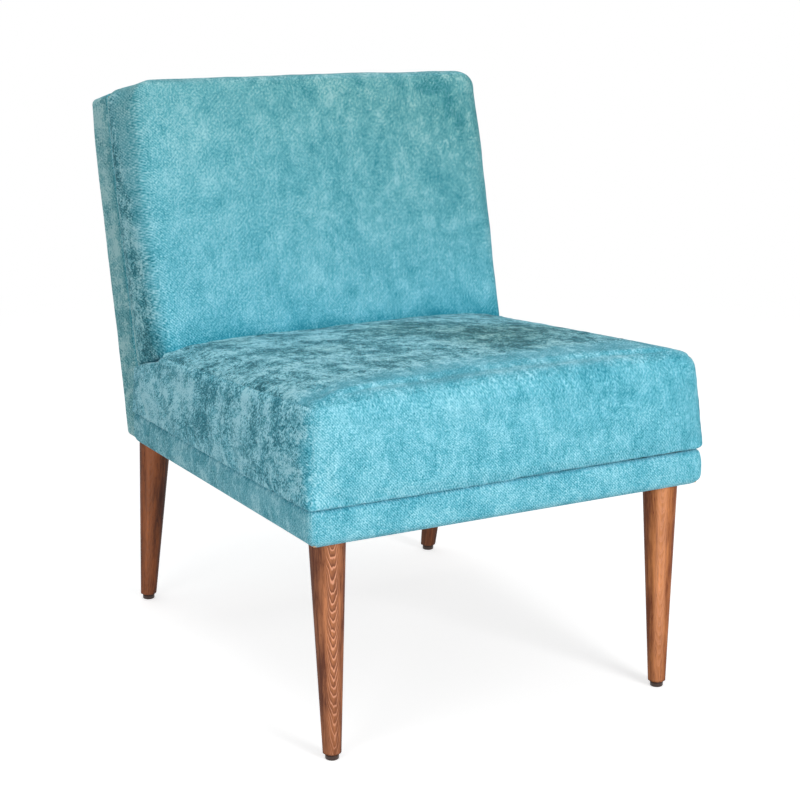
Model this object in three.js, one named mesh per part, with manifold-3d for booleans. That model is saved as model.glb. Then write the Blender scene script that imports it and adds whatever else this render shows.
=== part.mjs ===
// Upholstered slipper chair: a padded seat box with a raked, full-height back behind it, standing on
// four turned and tapered beech legs. Millimetres, Z up, front towards -Y, left towards -X.

import * as THREE from 'three';
import { mergeVertices } from 'three/addons/utils/BufferGeometryUtils.js';
import Module from 'manifold-3d';

const wasm = await Module();
wasm.setup();

// Seat, measured square to its underside, which falls towards the back
const seatWidth = 580;
const seatDepth = 605;
const undersideHeight = 294;
const seatTiltDegrees = 1.7;
const baseHeight = 49;
const baseCornerRadius = 12;
const baseEdgeRadius = 6;
const seatFrontThickness = 133;
const seatRearThickness = 96;
const seatOverhang = 8;
const seatDrawnIn = 9;
const seatEdgeRadius = 26;
const seatCrown = 14;
const seatSideSwell = 3;

// Back, measured along its rear face and square to it
const backSetIn = 8.5;
const backLength = 501;
const backAngleDegrees = 11.8;
const backFootDepth = 55;
const slabThickness = 75;
const slabEdgeRadius = 12;
const slabSwell = 2;
const backCushionThickness = 115;
const backEdgeRadius = 28;
const backCrown = 8;
const backSideSwell = 6;
const backTopSwell = 2;

// Upholstery
const coverThickness = 2;
const wrapThickness = 5;
const turnUnder = 15;
const clearance = 0.3;

// Timber frames
const railThickness = 22;
const stileThickness = 20;
const lumbarHeight = 60;
const bottomRailHeight = 60;
const cornerBlockWidth = 55;
const cornerBlockHeight = 35;
const boardThickness = 4;

// Webbing, pad and dust cover
const webbingThickness = 1.8;
const seatWebbingWidth = 60;
const seatStripsLengthwise = 4;
const seatStripsCrosswise = 3;
const weaveRamp = 14;
const backStrips = 5;
const backWebbingGap = 15;
const padThickness = 2.5;
const dustCoverThickness = 1;
const dustCoverInset = 14;

// Legs and glides
const frontLegInset = 40;
const rearLegInset = 34;
const rearLegRakeDegrees = 11;
const legTopRadius = 23.5;
const legFootRadius = 12;
const legTrim = 12;
const glideRadius = 9;
const glideHeight = 8;
const glideNeckRadius = 7.8;
const glideNeckHeight = 1.6;
const glideEdgeRadius = 1.6;
const nailRadius = 1.2;
const nailLength = 14;

// Hardware
const hangerBoltRadius = 4;
const hangerBoltReach = 30;
const insertRadius = 5.5;
const insertLength = 18;
const insertRecess = 12;
const joinBoltRadius = 4;
const joinBoltInset = 50;
const joinBolts = 4;
const joinBoltTail = 9;
const joinHeadRadius = 9;
const joinHeadHeight = 4;
const nutRadius = 7.5;
const nutHeight = 6.5;

// Fineness of the curved forms, in counts
const edgeSteps = 2;
const wideFaceSteps = 6;
const thinFaceSteps = 2;
const legSides = 36;
const hardwareSides = 16;

// How far a cutting shape reaches past the piece that it cuts
const overrun = 40;

// Places that follow from the sizes, in the seat's frame: x across, y rearwards, z off the underside
const seatTilt = THREE.MathUtils.degToRad(seatTiltDegrees);
const backAngle = THREE.MathUtils.degToRad(backAngleDegrees);
const rearLegRake = THREE.MathUtils.degToRad(rearLegRakeDegrees);
const frameInset = wrapThickness + clearance;
const frameHalfWidth = seatWidth / 2 - frameInset;
const frameFront = frameInset;
const frameRear = seatDepth - frameInset;
const frameBottom = coverThickness + clearance;
const seam = baseHeight + clearance;
const foamBottom = seam + coverThickness + clearance;
const padTop = foamBottom - clearance;
const webbingTop = padTop - padThickness - clearance;
const weaveRise = webbingThickness + clearance;
const railTop = webbingTop - webbingThickness - weaveRise - clearance;
const backFootFront = seatDepth + clearance;
const legSeat = -(dustCoverThickness + clearance * 2);
const seatHalf = seatWidth / 2 + seatOverhang;

// Places in the back's frame: x across, y rearwards, z up along the rear face
const slabHalf = seatWidth / 2 - backSetIn;
const backFrameHalf = slabHalf - frameInset;
const boardFront = -(frameInset + boardThickness);
const backFrameRear = boardFront - clearance;
const backFrameFront = -slabThickness;
const backFrameTop = backLength - frameInset;
const cushionRear = -(slabThickness + clearance);
const cushionFront = -(slabThickness + backCushionThickness);
const stileInner = backFrameHalf - stileThickness;

// The two frames, and the frame that the legs stand in
const seatFrame = new THREE.Group();
seatFrame.position.z = undersideHeight;
seatFrame.rotation.x = -seatTilt;
const backFrame = new THREE.Group();
backFrame.position.y = backFootFront + backFootDepth;
backFrame.rotation.x = -backAngle;
seatFrame.add(backFrame);
const chair = new THREE.Group();
chair.add(seatFrame);
chair.updateMatrixWorld(true);
const seatToBack = backFrame.matrix.clone().invert();

// Lower edge of the back cushion: where its front face meets the top of the seat cushion
const seatTopFall = (seatFrontThickness - seatRearThickness) / seatDepth;
const cushionFoot = findCushionFoot();

function findCushionFoot() {
  const foot = new THREE.Vector3(0, cushionFront, 0).applyMatrix4(backFrame.matrix);
  const rise = new THREE.Vector3(0, 0, 1).applyAxisAngle(new THREE.Vector3(1, 0, 0), -backAngle);
  const top = seam + seatFrontThickness - seatTopFall * foot.y;
  return (top - foot.z) / (rise.z + seatTopFall * rise.y);
}

// Materials
function surface(color, roughness, metalness) {
  return () => new THREE.MeshStandardMaterial({ color, roughness, metalness });
}

const pileFabric = surface(0x3fa3b0, 0.95, 0);
const stainedBeech = surface(0x8c4522, 0.42, 0);
const rawBeech = surface(0xcaa47a, 0.75, 0);
const hardboard = surface(0x8a6b4c, 0.85, 0);
const foam = surface(0xe9e2c8, 0.95, 0);
const webbing = surface(0x2b2b2b, 0.9, 0);
const felt = surface(0xb9b4aa, 1, 0);
const dustCloth = surface(0x1c1c1e, 0.95, 0);
const brownPlastic = surface(0x3a221a, 0.4, 0);
const zincSteel = surface(0xb4b6b8, 0.35, 1);

// A named piece in its group
function addPiece(group, name, geometry, material) {
  const mesh = new THREE.Mesh(geometry, material());
  mesh.name = name;
  group.add(mesh);
}

// A box that spans a low and a high value along each axis
function boxBetween(...ranges) {
  const sizes = ranges.map(([low, high]) => high - low);
  const middles = ranges.map(([low, high]) => (low + high) / 2);
  return new THREE.BoxGeometry(...sizes).translate(...middles);
}

// Closed geometry to a solid that can be joined and cut, and back
function toSolid(geometry) {
  const bare = geometry.clone();
  bare.deleteAttribute('normal');
  bare.deleteAttribute('uv');
  const merged = mergeVertices(bare);
  const vertProperties = new Float32Array(merged.attributes.position.array);
  const triVerts = new Uint32Array(merged.index.array);
  return new wasm.Manifold(new wasm.Mesh({ numProp: 3, vertProperties, triVerts }));
}

function toGeometry(solid) {
  const mesh = solid.getMesh();
  const geometry = new THREE.BufferGeometry();
  geometry.setAttribute('position', new THREE.BufferAttribute(mesh.vertProperties, 3));
  geometry.setIndex(new THREE.BufferAttribute(mesh.triVerts, 1));
  geometry.computeVertexNormals();
  return geometry;
}

function cut(geometry, ...cutters) {
  const solid = cutters.reduce((left, cutter) => left.subtract(toSolid(cutter)), toSolid(geometry));
  return toGeometry(solid);
}

// A rod along one axis, between two values there, through a point of the other two axes
function rodAlongZ(radius, [low, high], x, y) {
  const rod = new THREE.CylinderGeometry(radius, radius, high - low, hardwareSides);
  return rod.rotateX(Math.PI / 2).translate(x, y, (low + high) / 2);
}

function rodAlongY(radius, [low, high], x, z) {
  const rod = new THREE.CylinderGeometry(radius, radius, high - low, hardwareSides);
  return rod.translate(x, (low + high) / 2, z);
}

// Stops along one side of a padded block: close together in its rounded edges, even between them
function edgeStops(half, radius, faceSteps) {
  const arc = Array.from({ length: edgeSteps }, (unused, i) => {
    return half - radius + radius * Math.tan(((edgeSteps - i) * Math.PI) / 4 / edgeSteps);
  });
  const flat = Array.from({ length: faceSteps + 1 }, (unused, i) => {
    return (half - radius) * (1 - (2 * i) / faceSteps);
  });
  const mirrored = arc.map((stop) => -stop).reverse();
  return [...arc, ...flat, ...mirrored].reverse();
}

// A padded block centred on the origin: rounded edges, and faces that swell towards their middles
function paddedBlock({ halves, radius, swell, faceSteps }) {
  const stops = halves.map((half, axis) => edgeStops(half, radius, faceSteps[axis]));
  const counts = stops.map((list) => list.length - 1);
  const block = new THREE.BoxGeometry(2, 2, 2, ...counts);
  const points = block.attributes.position;
  for (let i = 0; i < points.count; i += 1) {
    const corner = stops.map((list, axis) => {
      const step = Math.round(((points.getComponent(i, axis) + 1) / 2) * counts[axis]);
      return list[step];
    });
    const core = corner.map((value, axis) => {
      return THREE.MathUtils.clamp(value, radius - halves[axis], halves[axis] - radius);
    });
    const reach = new THREE.Vector3(...corner.map((value, axis) => value - core[axis]));
    reach.setLength(radius);
    const place = new THREE.Vector3(...core).add(reach).toArray();
    const share = place.map((value, axis) => value / halves[axis]);
    const fade = share.map((value) => 1 - value * value);
    points.setX(i, place[0] + swell[0] * share[0] * fade[1] * fade[2]);
    points.setY(i, place[1] + swell[1] * share[1] * fade[0] * fade[2]);
    points.setZ(i, place[2] + swell[2] * share[2] * fade[0] * fade[1]);
  }
  return block;
}

// A block that holds all that lies beyond a value along one axis
const farReach = seatWidth + seatDepth + backLength + undersideHeight;

function beyond(axis, value, direction) {
  const ranges = [[-farReach, farReach], [-farReach, farReach], [-farReach, farReach]];
  ranges[axis] = direction > 0 ? [value, value + farReach] : [value - farReach, value];
  return boxBetween(...ranges);
}

// The seat cushion's block less an inset: its front and sides lean in from the seam to the top, and
// it gets thinner towards the back
function seatForm(inset) {
  const length = seatDepth + seatOverhang;
  const height = seatFrontThickness + seatEdgeRadius;
  const block = paddedBlock({
    halves: [seatHalf - inset, length / 2 - inset, height / 2 - inset],
    radius: seatEdgeRadius - inset,
    swell: [seatSideSwell, seatSideSwell, seatCrown],
    faceSteps: [wideFaceSteps, wideFaceSteps, thinFaceSteps],
  });
  block.translate(0, length / 2 - seatOverhang, seatFrontThickness - height / 2);
  const points = block.attributes.position;
  for (let i = 0; i < points.count; i += 1) {
    const riseShare = points.getZ(i) / seatFrontThickness;
    const lean = seatDrawnIn * riseShare;
    const thinning = seatTopFall * points.getY(i) * riseShare;
    points.setX(i, points.getX(i) * (1 - lean / seatHalf));
    points.setY(i, points.getY(i) + lean * (1 - points.getY(i) / seatDepth));
    points.setZ(i, points.getZ(i) - thinning + seam);
  }
  const pressed = backBlock(-(clearance + inset)).applyMatrix4(backFrame.matrix);
  const trims = [beyond(2, seam + inset, -1), beyond(1, seatDepth - inset, 1), pressed];
  return cut(block, ...trims);
}

// The back cushion's block, cut at its foot, which reaches behind the seam so that the seam stays crisp
function backBlock(inset) {
  const height = backLength - cushionFoot;
  const tall = height + backEdgeRadius;
  const deep = backCushionThickness + backEdgeRadius;
  const block = paddedBlock({
    halves: [slabHalf - inset, deep / 2 - inset, tall / 2 - inset],
    radius: backEdgeRadius - inset,
    swell: [backSideSwell, backCrown, backTopSwell],
    faceSteps: [wideFaceSteps, thinFaceSteps, wideFaceSteps],
  });
  block.translate(0, cushionFront + deep / 2, backLength - tall / 2);
  return cut(block, beyond(2, cushionFoot + inset, -1));
}

function backForm(inset) {
  return cut(backBlock(inset), beyond(1, cushionRear - inset, 1));
}

// The upholstered slab's block, which reaches past the seam, the seat and the underside
function slabForm() {
  const deep = slabThickness + slabEdgeRadius;
  const tall = backLength + slabEdgeRadius + overrun;
  const block = paddedBlock({
    halves: [slabHalf, deep / 2, tall / 2],
    radius: slabEdgeRadius,
    swell: [0, slabSwell, 0],
    faceSteps: [wideFaceSteps, 1, wideFaceSteps],
  });
  return block.translate(0, -deep / 2, backLength - tall / 2);
}

// A closed outline of points, extruded to a thickness
function extrudeOutline(points, thickness) {
  const outline = new THREE.Shape(points.map(([x, y]) => new THREE.Vector2(x, y)));
  return new THREE.ExtrudeGeometry(outline, { depth: thickness, bevelEnabled: false });
}

// Seat frame: two long side rails with the front and rear rails between them, the rear one bored for
// the bolts that hold the back
const seatRailRange = [frameBottom, railTop];
const joinHeight = (frameBottom + railTop) / 2;
const legBlockOuter = stileInner - clearance;
const bottomRailHalf = legBlockOuter - cornerBlockWidth - clearance;
const joinReach = bottomRailHalf - joinBoltInset;
const joinPlaces = Array.from({ length: joinBolts }, (unused, i) => {
  return joinReach * ((2 * i) / (joinBolts - 1) - 1);
});
const joinHoleRadius = joinBoltRadius + clearance;

function joinHoles(range) {
  return joinPlaces.map((x) => rodAlongY(joinHoleRadius, range, x, joinHeight));
}

function addSeatRails() {
  const inner = frameHalfWidth - railThickness;
  const crossRange = [clearance - inner, inner - clearance];
  const sides = { left: [-frameHalfWidth, -inner], right: [inner, frameHalfWidth] };
  Object.entries(sides).forEach(([side, range]) => {
    const rail = boxBetween(range, [frameFront, frameRear], seatRailRange);
    addPiece(seatFrame, `seat_side_rail_${side}`, rail, rawBeech);
  });
  const front = boxBetween(crossRange, [frameFront, frameFront + railThickness], seatRailRange);
  addPiece(seatFrame, 'seat_front_rail', front, rawBeech);
  const rearRange = [frameRear - railThickness, frameRear];
  const rear = boxBetween(crossRange, rearRange, seatRailRange);
  const holes = joinHoles([rearRange[0] - overrun, rearRange[1] + overrun]);
  addPiece(seatFrame, 'seat_rear_rail', cut(rear, ...holes), rawBeech);
}

// Front corner blocks, each bored for the insert that its leg screws into
const frontLegX = seatWidth / 2 - frontLegInset;
const insertBore = insertRadius + clearance;
const boltBore = hangerBoltRadius + clearance;

function addCornerBlocks() {
  const outer = frameHalfWidth - railThickness - clearance;
  const front = frameFront + railThickness + clearance;
  const sides = { left: -1, right: 1 };
  Object.entries(sides).forEach(([side, sign]) => {
    const across = [sign * outer, sign * (outer - cornerBlockWidth)].sort((a, b) => a - b);
    const block = boxBetween(across, [front, front + cornerBlockWidth], [0, cornerBlockHeight]);
    const bore = rodAlongZ(insertBore, [-overrun, overrun], sign * frontLegX, frontLegInset);
    addPiece(seatFrame, `corner_block_front_${side}`, cut(block, bore), rawBeech);
  });
}

// A strip of webbing that lies on its rails and rises over every second strip that it crosses
function wovenStrip(reach, crossings, rises) {
  const half = seatWebbingWidth / 2 + clearance;
  const lower = [[-reach, 0]];
  crossings.filter((place, i) => rises(i)).forEach((place) => {
    lower.push([place - half - weaveRamp, 0], [place - half, weaveRise]);
    lower.push([place + half, weaveRise], [place + half + weaveRamp, 0]);
  });
  lower.push([reach, 0]);
  const upper = lower.map(([along, height]) => [along, height + webbingThickness]).reverse();
  return extrudeOutline([...lower, ...upper], seatWebbingWidth);
}

function evenPlaces(count, low, high) {
  const pitch = (high - low) / count;
  return Array.from({ length: count }, (unused, i) => low + pitch * (i + 1 / 2));
}

function addSeatWebbing() {
  const level = railTop + clearance;
  const middle = (frameFront + frameRear) / 2;
  const reachAcross = frameHalfWidth - clearance;
  const reachAlong = (frameRear - frameFront) / 2 - clearance;
  const freeAcross = reachAcross - railThickness;
  const freeAlong = reachAlong - railThickness;
  const acrossPlaces = evenPlaces(seatStripsLengthwise, -freeAcross, freeAcross);
  const alongPlaces = evenPlaces(seatStripsCrosswise, -freeAlong, freeAlong);
  const upright = new THREE.Matrix4().makeBasis(
    new THREE.Vector3(0, 1, 0),
    new THREE.Vector3(0, 0, 1),
    new THREE.Vector3(1, 0, 0),
  );
  acrossPlaces.forEach((x, i) => {
    const strip = wovenStrip(reachAlong, alongPlaces, (j) => (i + j) % 2 === 0);
    strip.applyMatrix4(upright).translate(x - seatWebbingWidth / 2, middle, level);
    addPiece(seatFrame, `seat_webbing_lengthwise_${i + 1}`, strip, webbing);
  });
  alongPlaces.forEach((y, j) => {
    const strip = wovenStrip(reachAcross, acrossPlaces, (i) => (i + j) % 2 === 1);
    strip.rotateX(Math.PI / 2).translate(0, middle + y + seatWebbingWidth / 2, level);
    addPiece(seatFrame, `seat_webbing_crosswise_${j + 1}`, strip, webbing);
  });
}

// Seat upholstery: the border round the frame, the pad, the foam and its cover
function outlineRound(halfWidth, front, rear, radius) {
  const outline = new THREE.Shape();
  outline.absarc(halfWidth - radius, front + radius, radius, -Math.PI / 2, 0, false);
  outline.absarc(halfWidth - radius, rear - radius, radius, 0, Math.PI / 2, false);
  outline.absarc(radius - halfWidth, rear - radius, radius, Math.PI / 2, Math.PI, false);
  outline.absarc(radius - halfWidth, front + radius, radius, Math.PI, (3 * Math.PI) / 2, false);
  outline.closePath();
  return outline;
}

function addBaseCover() {
  const bevel = baseEdgeRadius;
  const outline = outlineRound(
    seatWidth / 2 - bevel,
    bevel,
    seatDepth - bevel,
    baseCornerRadius - bevel,
  );
  const band = new THREE.ExtrudeGeometry(outline, {
    depth: baseHeight - bevel * 2,
    curveSegments: edgeSteps * 2,
    bevelSize: bevel,
    bevelThickness: bevel,
    bevelSegments: edgeSteps,
  }).translate(0, 0, bevel);
  const inside = boxBetween(
    [wrapThickness - seatWidth / 2, seatWidth / 2 - wrapThickness],
    [wrapThickness, seatDepth - wrapThickness],
    [coverThickness, baseHeight + overrun],
  );
  const under = boxBetween(
    [turnUnder - seatWidth / 2, seatWidth / 2 - turnUnder],
    [turnUnder, seatDepth - turnUnder],
    [-overrun, coverThickness + overrun],
  );
  const holes = joinHoles([frameRear, seatDepth + overrun]);
  addPiece(seatFrame, 'base_cover', cut(band, inside, under, ...holes), pileFabric);
}

function addSeatCushion() {
  const half = seatWidth / 2 - turnUnder;
  const [front, rear] = [turnUnder, seatDepth - turnUnder];
  const opening = boxBetween([-half, half], [front, rear], [seam - overrun, foamBottom]);
  addPiece(seatFrame, 'seat_cover', cut(seatForm(0), seatForm(coverThickness), opening), pileFabric);
  addPiece(seatFrame, 'seat_foam', seatForm(coverThickness + clearance), foam);
  const pad = boxBetween(
    [clearance - half, half - clearance],
    [front + clearance, rear - clearance],
    [padTop - padThickness, padTop],
  );
  addPiece(seatFrame, 'seat_pad', pad, felt);
}

function addDustCover() {
  const half = slabHalf - dustCoverInset;
  const rear = backFootFront + backFootDepth - dustCoverInset;
  const sheet = boxBetween(
    [-half, half],
    [dustCoverInset, rear],
    [-clearance - dustCoverThickness, -clearance],
  );
  const holes = [-1, 1].flatMap((sign) => [
    rodAlongZ(boltBore, [-overrun, overrun], sign * frontLegX, frontLegInset),
    rearBoltHole(sign, boltBore),
  ]);
  addPiece(seatFrame, 'dust_cover', cut(sheet, ...holes), dustCloth);
}

// Back frame: stiles, rails and board inside the slab's cover, in the back's frame
function underside(height) {
  return beyond(2, height, -1).applyMatrix4(seatToBack);
}

function seatSide(depth) {
  return beyond(1, depth, -1).applyMatrix4(seatToBack);
}

function addBackTimber() {
  const trims = [underside(frameBottom), seatSide(backFootFront)];
  const depthRange = [backFrameFront, backFrameRear];
  const span = [clearance - stileInner, stileInner - clearance];
  const sides = { left: [-backFrameHalf, -stileInner], right: [stileInner, backFrameHalf] };
  Object.entries(sides).forEach(([side, range]) => {
    const stile = boxBetween(range, depthRange, [-overrun, backFrameTop]);
    addPiece(backFrame, `back_stile_${side}`, cut(stile, ...trims), rawBeech);
  });
  const top = boxBetween(span, depthRange, [backFrameTop - railThickness, backFrameTop]);
  addPiece(backFrame, 'back_top_rail', top, rawBeech);
  const lumbarDepth = [backFrameFront, backFrameFront + railThickness];
  const lumbar = boxBetween(span, lumbarDepth, [cushionFoot, cushionFoot + lumbarHeight]);
  addPiece(backFrame, 'back_lumbar_rail', lumbar, rawBeech);
  const boardRange = [-backFrameHalf, backFrameHalf];
  const board = boxBetween(boardRange, [boardFront, -frameInset], [-overrun, backFrameTop]);
  addPiece(backFrame, 'outside_back_board', cut(board, trims[0]), hardboard);
}

// Foot of the back frame, square to the seat: a rail bolted to the seat and a block over each rear leg
const rearLegX = slabHalf - rearLegInset;
const rearLegY = backFootFront + backFootDepth / 2;
const footRailRange = [backFootFront + clearance, backFootFront + clearance + railThickness];
const rearLegAngle = seatTilt + rearLegRake;

function rearBoltHole(sign, radius) {
  const reach = bottomRailHeight + overrun;
  const hole = rodAlongZ(radius, [-reach, reach], 0, 0);
  return hole.rotateX(rearLegAngle).translate(sign * rearLegX, rearLegY, legSeat);
}

function addBackFoot() {
  const blockInner = legBlockOuter - cornerBlockWidth;
  const footRange = [frameBottom, frameBottom + bottomRailHeight];
  const rail = boxBetween([-bottomRailHalf, bottomRailHalf], footRailRange, footRange);
  const holes = joinHoles([footRailRange[0] - overrun, footRailRange[1] + overrun]);
  addPiece(seatFrame, 'back_bottom_rail', cut(rail, ...holes), rawBeech);
  const behind = beyond(1, backFrameRear, 1).applyMatrix4(backFrame.matrix);
  const sides = { left: -1, right: 1 };
  Object.entries(sides).forEach(([side, sign]) => {
    const across = [sign * legBlockOuter, sign * blockInner].sort((a, b) => a - b);
    const depthRange = [footRailRange[0], footRailRange[0] + backFootDepth + overrun];
    const block = boxBetween(across, depthRange, footRange);
    const bore = rearBoltHole(sign, insertBore);
    addPiece(seatFrame, `leg_block_rear_${side}`, cut(block, behind, bore), rawBeech);
  });
}

// Back upholstery: webbing across the stiles, the cushion's foam and cover, and the slab's cover
function addBackWebbing() {
  const half = slabHalf - turnUnder - clearance;
  const front = backFrameFront - clearance - webbingThickness;
  const low = cushionFoot + lumbarHeight;
  const high = backFrameTop - railThickness;
  const stripHalf = ((high - low) / backStrips - backWebbingGap) / 2;
  evenPlaces(backStrips, low, high).forEach((height, i) => {
    const range = [height - stripHalf, height + stripHalf];
    const strip = boxBetween([-half, half], [front, front + webbingThickness], range);
    addPiece(backFrame, `back_webbing_${i + 1}`, strip, webbing);
  });
}

function addBackCushion() {
  const half = slabHalf - turnUnder;
  const lipRange = [cushionFoot + turnUnder, backLength - turnUnder];
  const opening = boxBetween([-half, half], [cushionRear - overrun, cushionRear + overrun], lipRange);
  addPiece(backFrame, 'back_cover', cut(backForm(0), backForm(coverThickness), opening), pileFabric);
  addPiece(backFrame, 'back_foam', backForm(coverThickness + clearance), foam);
}

function addSlabCover() {
  const half = slabHalf - wrapThickness;
  const inside = boxBetween(
    [-half, half],
    [-slabThickness - overrun, -wrapThickness],
    [-slabThickness - overrun, backLength - wrapThickness],
  );
  const hollow = cut(inside, underside(coverThickness));
  const front = beyond(1, backFrameFront, -1);
  const trims = [front, underside(0), seatSide(backFootFront), hollow, underBackOpening()];
  addPiece(backFrame, 'slab_cover', cut(slabForm(), ...trims), pileFabric);
}

// The opening that the turned-under edge leaves in the slab's underside
function underBackOpening() {
  const half = slabHalf - turnUnder;
  const rear = backFootFront + backFootDepth - turnUnder;
  const opening = boxBetween([-half, half], [backFootFront - overrun, rear], [-overrun, overrun]);
  return opening.applyMatrix4(seatToBack);
}

// A turned leg in its own frame, with its top centre at the origin and its foot below
function turnedLeg(length) {
  const slope = (legTopRadius - legFootRadius) / length;
  const boltHoleDepth = hangerBoltReach + clearance;
  const profile = [
    [0, -length - legTrim],
    [legFootRadius - slope * legTrim, -length - legTrim],
    [legTopRadius + slope * legTrim, legTrim],
    [boltBore, legTrim],
    [boltBore, -boltHoleDepth],
    [0, -boltHoleDepth],
  ];
  const points = profile.map(([radius, height]) => new THREE.Vector2(radius, height));
  return new THREE.LatheGeometry(points, legSides).rotateX(Math.PI / 2);
}

// A nail-on glide, standing on the floor with its nail up
function glide() {
  const shoulder = glideHeight - glideNeckHeight - clearance;
  const profile = [
    [0, 0],
    [glideRadius - glideEdgeRadius, 0],
    [glideRadius, glideEdgeRadius],
    [glideRadius, shoulder],
    [glideNeckRadius, shoulder],
    [glideNeckRadius, glideHeight - clearance],
    [nailRadius, glideHeight - clearance],
    [nailRadius, glideHeight + nailLength],
    [0, glideHeight + nailLength],
  ];
  const points = profile.map(([radius, height]) => new THREE.Vector2(radius, height));
  return new THREE.LatheGeometry(points, hardwareSides).rotateX(Math.PI / 2);
}

// One leg with its glide, hanger bolt and insert: lean turns the leg about X, with its foot back
function addLeg(name, x, y, lean) {
  const stand = new THREE.Group();
  const top = new THREE.Vector3(x, y, legSeat).applyMatrix4(seatFrame.matrix);
  stand.position.copy(top);
  stand.rotation.x = lean;
  chair.add(stand);
  stand.updateMatrix();
  const toStand = stand.matrix.clone().invert();
  const length = (top.z - glideHeight) / Math.cos(lean);
  const foot = new THREE.Vector3(0, 0, -length).applyMatrix4(stand.matrix);
  const above = beyond(2, legSeat, 1).applyMatrix4(seatFrame.matrix).applyMatrix4(toStand);
  const below = beyond(2, glideHeight, -1).applyMatrix4(toStand);
  const nailRange = [0, glideHeight + nailLength + clearance];
  const nailHole = rodAlongZ(nailRadius + clearance, nailRange, foot.x, foot.y);
  const leg = cut(turnedLeg(length), above, below, nailHole.applyMatrix4(toStand));
  addPiece(stand, `leg_${name}`, leg, stainedBeech);
  const bolt = rodAlongZ(hangerBoltRadius, [-hangerBoltReach, hangerBoltReach], 0, 0);
  addPiece(stand, `hanger_bolt_${name}`, bolt, zincSteel);
  addPiece(stand, `leg_insert_${name}`, sleeve(), zincSteel);
  addPiece(chair, `glide_${name}`, glide().translate(foot.x, foot.y, 0), brownPlastic);
}

// The threaded insert in the block above a leg
function sleeve() {
  const high = insertRecess + insertLength;
  const profile = [
    [boltBore, insertRecess],
    [insertRadius, insertRecess],
    [insertRadius, high],
    [boltBore, high],
    [boltBore, insertRecess],
  ];
  const points = profile.map(([radius, height]) => new THREE.Vector2(radius, height));
  return new THREE.LatheGeometry(points, hardwareSides).rotateX(Math.PI / 2);
}

function addLegs() {
  [['left', -1], ['right', 1]].forEach(([side, sign]) => {
    addLeg(`front_${side}`, sign * frontLegX, frontLegInset, -seatTilt);
    addLeg(`rear_${side}`, sign * rearLegX, rearLegY, rearLegRake);
  });
}

// Bolts from the back's bottom rail into the seat's rear rail, each with its nut
function joinBolt(start, end) {
  const profile = [
    [0, start],
    [joinBoltRadius, start],
    [joinBoltRadius, end],
    [joinHeadRadius, end],
    [joinHeadRadius, end + joinHeadHeight / 2],
    [joinHeadRadius / 2, end + joinHeadHeight],
    [0, end + joinHeadHeight],
  ];
  const points = profile.map(([radius, along]) => new THREE.Vector2(radius, along));
  return new THREE.LatheGeometry(points, hardwareSides);
}

function hexNut() {
  const hexagon = new THREE.Shape();
  const corners = Array.from({ length: 6 }, (unused, i) => {
    const angle = (i * Math.PI) / 3;
    return new THREE.Vector2(nutRadius * Math.cos(angle), nutRadius * Math.sin(angle));
  });
  hexagon.setFromPoints(corners);
  const bore = new THREE.Path().absarc(0, 0, joinHoleRadius, 0, Math.PI * 2, true);
  hexagon.holes.push(bore);
  const shape = { depth: nutHeight, bevelEnabled: false, curveSegments: hardwareSides / 2 };
  return new THREE.ExtrudeGeometry(hexagon, shape).rotateX(Math.PI / 2);
}

function addJoinBolts() {
  const railInner = frameRear - railThickness;
  const start = railInner - joinBoltTail;
  const end = footRailRange[1] + clearance;
  joinPlaces.forEach((x, i) => {
    const bolt = joinBolt(start, end).translate(x, 0, joinHeight);
    addPiece(seatFrame, `join_bolt_${i + 1}`, bolt, zincSteel);
    const nut = hexNut().translate(x, railInner - clearance, joinHeight);
    addPiece(seatFrame, `join_nut_${i + 1}`, nut, zincSteel);
  });
}

addSeatRails();
addCornerBlocks();
addSeatWebbing();
addBaseCover();
addSeatCushion();
addDustCover();
addBackTimber();
addBackFoot();
addBackWebbing();
addBackCushion();
addSlabCover();
addLegs();
addJoinBolts();

// The origin is on the floor, in the middle of the chair's outline
const bounds = new THREE.Box3().setFromObject(chair, true);
chair.position.set(0, -(bounds.min.y + bounds.max.y) / 2, -bounds.min.z);

export default chair;
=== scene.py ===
import math

import bmesh
import bpy
import numpy as np
from mathutils import Matrix, Vector, noise


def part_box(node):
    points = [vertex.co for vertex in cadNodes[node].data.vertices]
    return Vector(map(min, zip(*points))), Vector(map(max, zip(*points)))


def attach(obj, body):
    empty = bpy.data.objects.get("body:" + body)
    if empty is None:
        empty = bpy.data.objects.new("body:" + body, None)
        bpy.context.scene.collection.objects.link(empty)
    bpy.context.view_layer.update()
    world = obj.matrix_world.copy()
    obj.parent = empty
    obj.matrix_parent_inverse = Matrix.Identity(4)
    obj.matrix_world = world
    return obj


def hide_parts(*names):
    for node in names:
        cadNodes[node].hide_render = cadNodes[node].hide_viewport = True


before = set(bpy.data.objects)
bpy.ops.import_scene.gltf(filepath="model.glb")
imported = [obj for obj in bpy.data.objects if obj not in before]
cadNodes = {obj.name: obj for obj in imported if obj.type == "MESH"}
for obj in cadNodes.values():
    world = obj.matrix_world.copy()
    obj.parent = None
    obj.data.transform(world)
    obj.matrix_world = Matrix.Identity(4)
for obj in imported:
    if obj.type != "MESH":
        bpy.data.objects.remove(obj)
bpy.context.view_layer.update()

# Slipper chair: padded seat and back covered in turquoise pile, on four stained, tapered legs
scene = bpy.context.scene

# The seat's own frame and the back's frame in it, as the solids stand in them
frames = {
    "seatPlace": (0, -0.383137, 0.294),
    "seatTilt": 1.7,
    "backFoot": (0, 0.6603, 0),
    "backTilt": 11.8,
}


def standAt(place, lean):
    return Matrix.Translation(place) @ Matrix.Rotation(math.radians(lean), 4, "X")


seatFrame = standAt(frames["seatPlace"], -frames["seatTilt"])
backInSeat = standAt(frames["backFoot"], -frames["backTilt"])
backFrame = seatFrame @ backInSeat


def note(text):
    print("chair:", text)


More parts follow.
